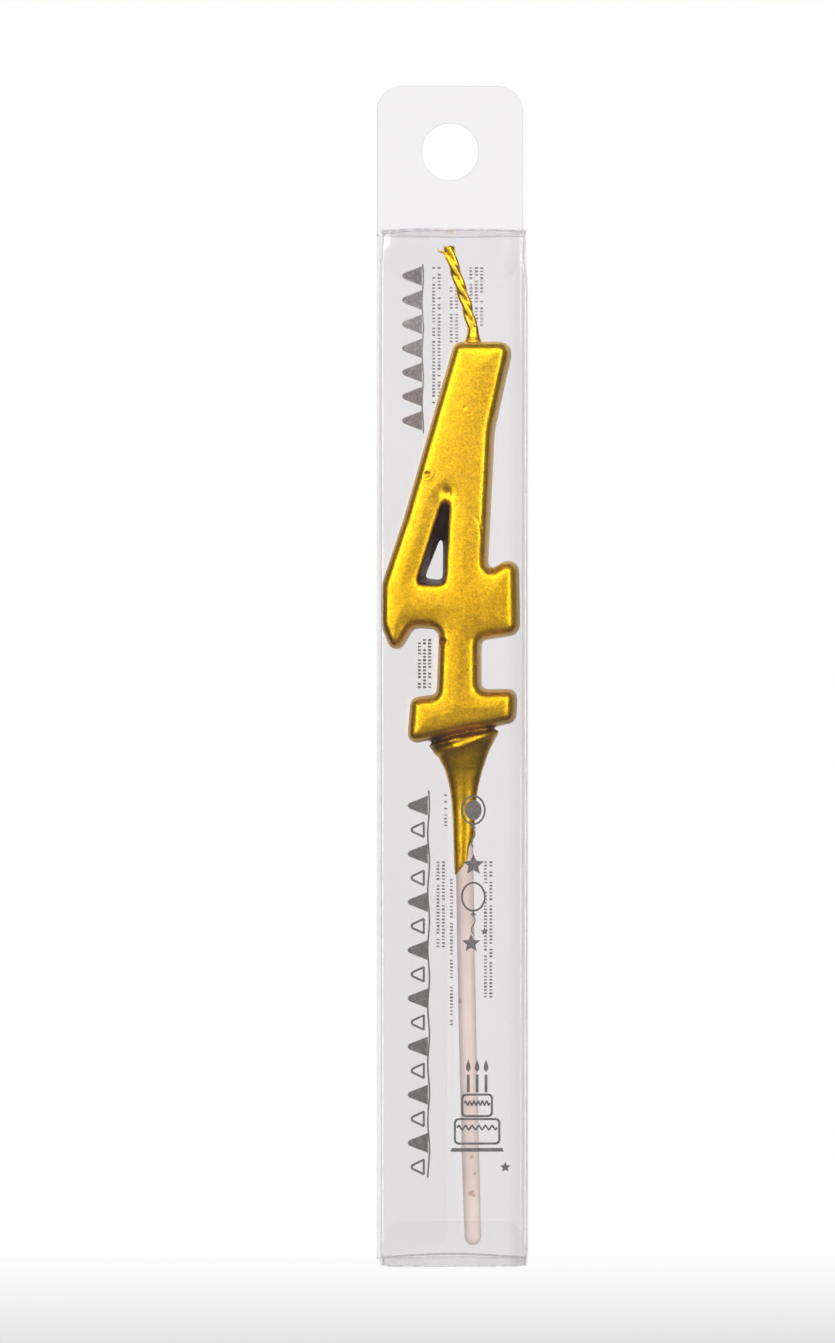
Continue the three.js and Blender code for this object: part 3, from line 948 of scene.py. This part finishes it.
# Copies of a motif in rows and columns, with random lengths and gaps between the copies.
printed_rows = bpy.data.node_groups.new("printed_rows", "GeometryNodeTree")
printed_rows.is_modifier = True
row_inputs = {}
for name, kind, default in (
    ("Motif", "NodeSocketGeometry", None), ("Columns", "NodeSocketInt", 1), ("Rows", "NodeSocketInt", 1),
    ("Column Pitch", "NodeSocketFloat", 1.0), ("Row Pitch", "NodeSocketFloat", 1.0),
    ("Shortest", "NodeSocketFloat", 1.0), ("Longest", "NodeSocketFloat", 1.0),
    ("Gap Share", "NodeSocketFloat", 0.0), ("Seed", "NodeSocketInt", 0),
    ("Ink", "NodeSocketMaterial", None),
):
    socket = printed_rows.interface.new_socket(name, in_out="INPUT", socket_type=kind)
    if default is not None:
        socket.default_value = default
    row_inputs[name] = socket.identifier
printed_rows.interface.new_socket("Print", in_out="OUTPUT", socket_type="NodeSocketGeometry")
wanted = add_node(printed_rows, "NodeGroupInput")


def span(pitch, number):
    """The length that so many copies at a pitch take up."""
    steps = reckoned(printed_rows, "SUBTRACT", wanted.outputs[number], 1.0)
    return reckoned(printed_rows, "MULTIPLY", steps, wanted.outputs[pitch])


grid = add_node(printed_rows, "GeometryNodeMeshGrid", {
    "Size X": span("Column Pitch", "Columns"), "Size Y": span("Row Pitch", "Rows"),
    "Vertices X": wanted.outputs["Columns"], "Vertices Y": wanted.outputs["Rows"],
})
length = add_node(printed_rows, "FunctionNodeRandomValue", {
    "Min": wanted.outputs["Shortest"], "Max": wanted.outputs["Longest"], "Seed": wanted.outputs["Seed"],
}, data_type="FLOAT")
stretch = add_node(printed_rows, "ShaderNodeCombineXYZ", {0: 1.0, 1: length.outputs["Value"], 2: 1.0})
gap = add_node(printed_rows, "FunctionNodeRandomValue", {
    "Probability": wanted.outputs["Gap Share"], "Seed": wanted.outputs["Seed"],
}, data_type="BOOLEAN")
kept = add_node(printed_rows, "FunctionNodeBooleanMath", {0: gap.outputs["Value"]}, operation="NOT")
copies = add_node(printed_rows, "GeometryNodeInstanceOnPoints", {
    "Points": grid.outputs["Mesh"], "Selection": kept.outputs[0],
    "Instance": wanted.outputs["Motif"], "Scale": stretch.outputs[0],
})
real = add_node(printed_rows, "GeometryNodeRealizeInstances", {0: copies.outputs[0]})
inked = add_node(printed_rows, "GeometryNodeSetMaterial", {
    "Geometry": real.outputs[0], "Material": wanted.outputs["Ink"],
})
add_node(printed_rows, "NodeGroupOutput", {0: inked.outputs[0]})


def add_plate(shape, outline, offset=(0.0, 0.0)):
    """Adds a thin closed plate of ink with an outline of (across, up) points in mm."""
    front_face = shape.faces.new([
        shape.verts.new(((x + offset[0]) * MM, (z + offset[1]) * MM, 0.0)) for x, z in outline
    ])
    grown = bmesh.ops.extrude_face_region(shape, geom=[front_face])
    raised = [item for item in grown["geom"] if isinstance(item, bmesh.types.BMVert)]
    bmesh.ops.translate(shape, verts=raised, vec=(0, 0, INK_THICKNESS))


def disc(radius, centre=(0.0, 0.0), stretch=1.0, steps=28, first=0.0, turn=1.0):
    """Points round a circle, an ellipse or a part of one."""
    return [
        (centre[0] + radius * math.cos(first + 2 * math.pi * turn * k / steps),
         centre[1] + radius * stretch * math.sin(first + 2 * math.pi * turn * k / steps))
        for k in range(steps + (turn < 1.0))
    ]


def add_line(shape, points, width, closed=False):
    """Adds a line of a width through points, one plate for each stretch."""
    ends = points[1:] + points[:1] if closed else points[1:]
    for (x0, z0), (x1, z1) in zip(points, ends):
        reach = math.hypot(x1 - x0, z1 - z0)
        dx, dz = (x1 - x0) / reach * width / 2, (z1 - z0) / reach * width / 2
        add_plate(shape, [
            (x0 - dx * 0.3 + dz, z0 - dz * 0.3 - dx), (x1 + dx * 0.3 + dz, z1 + dz * 0.3 - dx),
            (x1 + dx * 0.3 - dz, z1 + dz * 0.3 + dx), (x0 - dx * 0.3 - dz, z0 - dz * 0.3 + dx),
        ])


def star(radius, centre):
    """A five-pointed star with blunt points."""
    points = []
    for k in range(10):
        reach = radius if k % 2 == 0 else STAR_WAIST * radius
        turn = math.pi / 2 + 2 * math.pi * k / 10
        points.append((centre[0] + reach * math.cos(turn), centre[1] + reach * math.sin(turn)))
    return points


def rows_of(motif, ink, **settings):
    """The motif's mesh repeated by the node group, as a plain mesh about its own middle."""
    carrier = bpy.data.objects.new("carrier", motif)
    bpy.context.scene.collection.objects.link(carrier)
    modifier = carrier.modifiers.new("rows", "NODES")
    modifier.node_group = printed_rows
    for name, value in {**settings, "Ink": ink}.items():
        modifier[row_inputs[name.replace("_", " ")]] = value
    evaluated = carrier.evaluated_get(bpy.context.evaluated_depsgraph_get())
    result = bpy.data.meshes.new_from_object(evaluated)
    bpy.data.objects.remove(carrier)
    return result


def lay_on_panel(shape, side):
    """Turns flat print upright and lays it on the bowed outside of a panel."""
    for vert in shape.verts:
        across, up, thickness = vert.co
        share = (across + half_width) / (2 * half_width)
        share = share if side < 0 else 1.0 - share
        lift = WALL_BOW * wall_wave(share, up) + INK_LIFT + thickness
        vert.co = bruised(Vector((across, side * (wall_y + lift), up)))
    bmesh.ops.recalc_face_normals(shape, faces=shape.faces)


def add_print(name, shape, side, ink):
    lay_on_panel(shape, side)
    piece = add_piece(name, mesh_of(shape, name, smooth=False), ink)
    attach(piece, "sleeve")
    return piece


def add_rows(shape, motif, ink, left, top, columns, column_pitch, rows, row_pitch, **settings):
    """Adds a block of repeated motifs to a print, placed by its top left copy."""
    block = rows_of(
        motif, ink, Columns=columns, Rows=rows, Column_Pitch=column_pitch * MM,
        Row_Pitch=row_pitch * MM, **settings,
    )
    block.transform(Matrix.Translation((
        (left + (columns - 1) * column_pitch / 2) * MM, (top - (rows - 1) * row_pitch / 2) * MM, 0,
    )))
    shape.from_mesh(block)


dash_shape = bmesh.new()
add_plate(dash_shape, [
    (x * DASH[0] / 2, z * DASH[1] / 2)
    for x, z in ((-1, -0.7), (-0.6, -1), (0.6, -1), (1, -0.7), (1, 0.7), (0.6, 1), (-0.6, 1), (-1, 0.7))
])
dash = mesh_of(dash_shape, "dash", smooth=False)
pennant_shape = bmesh.new()
add_plate(pennant_shape, PENNANT)
pennant = mesh_of(pennant_shape, "pennant", smooth=False)
outlined_shape = bmesh.new()
add_line(outlined_shape, [(0.6 * x - 0.55, 0.72 * z) for x, z in PENNANT], 0.3, closed=True)
outlined = mesh_of(outlined_shape, "outlined_pennant", smooth=False)

# Front: the garland, the balloons with their stars, and the cake.
shape = bmesh.new()
add_rows(shape, pennant, front_ink, -3.55, 62.2, 1, 1.0, 8, 6.5)
add_rows(shape, outlined, front_ink, -3.55, 58.95, 1, 1.0, 8, 6.5)
add_line(shape, [(-3.45 + 0.12 * math.sin(0.9 * k), 64.2 - 1.11 * k) for k in range(48)], 0.22)
add_print("front_print_garland", shape, -1, front_ink)

shape = bmesh.new()
for centre_z, filled in ((60.6, True), (48.9, False)):
    balloon = (BALLOON_X, centre_z + 1.0)
    add_line(shape, disc(1.55, balloon, 1.22), 0.26, closed=True)
    if filled:
        add_plate(shape, disc(1.12, balloon, 1.22))
    knot = centre_z - 1.5
    add_plate(shape, [(BALLOON_X, knot + 0.6), (BALLOON_X - 0.4, knot), (BALLOON_X + 0.4, knot)])
    add_line(shape, [(BALLOON_X + 0.25 * math.sin(k), knot - 0.42 * k) for k in range(7)], 0.16)
for centre_x, centre_z, radius in STARS:
    add_plate(shape, star(radius, (centre_x, centre_z)))
add_print("front_print_balloons", shape, -1, front_ink)

shape = bmesh.new()
for left, right, low, high in CAKE_TIERS:
    rounded = []
    for x, z, first in ((right, high, 0), (left, high, 1), (left, low, 2), (right, low, 3)):
        inner = (
            x - math.copysign(TIER_CORNER, x - (left + right) / 2),
            z - math.copysign(TIER_CORNER, z - (low + high) / 2),
        )
        rounded += disc(TIER_CORNER, inner, steps=4, first=first * math.pi / 2, turn=0.25)
    add_line(shape, rounded, 0.3, closed=True)
    add_line(shape, [
        (left + 0.3 + (right - left - 0.6) * k / 24, high - 1.15 + 0.32 * math.sin(k * math.pi / 2))
        for k in range(25)
    ], 0.24)
for x in (1.9, 3.1, 4.3):
    add_plate(shape, [(x - 0.2, 23.5), (x + 0.2, 23.5), (x + 0.2, 25.9), (x - 0.2, 25.9)])
    add_plate(shape, [
        (x, 26.2), (x + 0.34, 26.7), (x + 0.26, 27.2), (x, 28.0), (x - 0.26, 27.2), (x - 0.34, 26.7),
    ])
add_plate(shape, [(-0.5, 15.5), (6.7, 15.5), (6.5, 16.0), (-0.3, 16.0)])
add_print("front_print_cake", shape, -1, front_ink)

# Back, seen faintly through the box: a second garland and the columns of dashes.
shape = bmesh.new()
add_rows(shape, pennant, back_ink, -3.85, 134.4, 1, 1.0, 7, 3.3)
add_line(shape, [(-3.75 + 0.1 * math.sin(k), 136.0 - 1.1 * k) for k in range(22)], 0.2)
add_print("back_print_garland", shape, 1, back_ink)
shape = bmesh.new()
for number, (left, top, columns, column_pitch, rows, row_pitch) in enumerate(BACK_DASHES):
    add_rows(
        shape, dash, back_ink, left, top, columns, column_pitch, rows, row_pitch,
        Shortest=0.7, Longest=1.25, Gap_Share=0.14, Seed=11 + number,
    )
add_print("back_print_dashes", shape, 1, back_ink)


# ---- Floor, backdrop and light ----
# A pale sweep that glows with painted light, falling off to grey towards the viewer, in a bright tent
# with dark flanks. Two large soft lights stand to the left and the right, and a weaker one above.
FLOOR_SIZE = 3.0

# The floor glows with painted light instead of being lit: a grey that brightens away from the viewer.
floor_painted_light, tree = new_material("floor_painted_light")
place = add_node(tree, "ShaderNodeTexCoord").outputs["Object"]
depth = add_node(tree, "ShaderNodeSeparateXYZ", {0: place}).outputs["Y"]
share = rescaled(tree, depth, (-0.13, 0.0), (0.0, 1.0))
tint = ramp(tree, share, (0.0, grey(0.76)), (0.6, grey(0.90)), (1.0, grey(0.97)))
glow = add_node(tree, "ShaderNodeEmission", {"Color": tint})
finish_material(tree, glow.outputs[0])
shape = bmesh.new()
bmesh.ops.create_grid(shape, x_segments=8, y_segments=8, size=FLOOR_SIZE / 2)
bmesh.ops.translate(shape, verts=shape.verts, vec=(0, 0.012 - FLOOR_SIZE / 2, -0.0002))
floor = add_piece("floor", mesh_of(shape, "floor"), floor_painted_light)
floor.visible_glossy = False

# What the gloss mirrors: a bright backdrop, dark flanks, and soft light in front and above.
world = bpy.data.worlds.new("studio")
bpy.context.scene.world = world
world.use_nodes = True
tree = world.node_tree
tree.nodes.clear()
direction = add_node(tree, "ShaderNodeTexCoord").outputs["Generated"]
axes = add_node(tree, "ShaderNodeSeparateXYZ", {0: direction})
facing = rescaled(tree, axes.outputs["Y"], (1.0, -1.0), (0.0, 1.0))
tent = ramp(
    tree, facing,
    (0.00, grey(0.95)), (0.09, grey(0.90)), (0.20, grey(0.10)), (0.42, grey(0.05)),
    (0.62, grey(0.32)), (0.80, grey(0.92)), (0.90, grey(1.08)), (0.975, grey(0.85)), (0.99, grey(0.05)),
)
rise = ramp(
    tree, rescaled(tree, axes.outputs["Z"], (-1.0, 1.0), (0.0, 1.0)),
    (0.00, grey(0.18)), (0.15, grey(0.16)), (0.42, grey(0.50)), (0.53, grey(0.85)), (0.70, grey(1.0)),
)
backdrop = reckoned(tree, "LESS_THAN", facing, 0.15)
mirrored = blend(tree, backdrop, multiplied(tree, tent, rise), tent)
paths = add_node(tree, "ShaderNodeLightPath")
room = blend(tree, paths.outputs["Is Camera Ray"], mirrored, grey(0.99))
background = add_node(tree, "ShaderNodeBackground", {"Color": room, "Strength": 1.0})
add_node(tree, "ShaderNodeOutputWorld", {"Surface": background.outputs[0]})


def softbox(name, location, aim, width, height, power):
    light = bpy.data.lights.new(name, "AREA")
    light.shape = "RECTANGLE"
    light.size = width
    light.size_y = height
    light.energy = power
    lamp = bpy.data.objects.new(name, light)
    lamp.location = location
    lamp.rotation_euler = (Vector(aim) - Vector(location)).to_track_quat("-Z", "Y").to_euler()
    bpy.context.scene.collection.objects.link(lamp)
    lamp.visible_camera = False
    return lamp


centre = (0, 0, 0.085)
softbox("left_softbox", (-0.62, -0.75, 0.30), centre, 0.45, 0.9, 7)
softbox("right_softbox", (0.62, -0.75, 0.30), centre, 0.45, 0.9, 7)
softbox("front_softbox", (0.0, -0.9, 0.62), centre, 0.9, 0.5, 4)

# Up to five sheets lie behind one another, and each is crossed through two faces.
bpy.context.scene.cycles.transparent_max_bounces = 32
bpy.context.scene.view_settings.view_transform = "Standard"
bpy.context.scene.view_settings.look = "None"
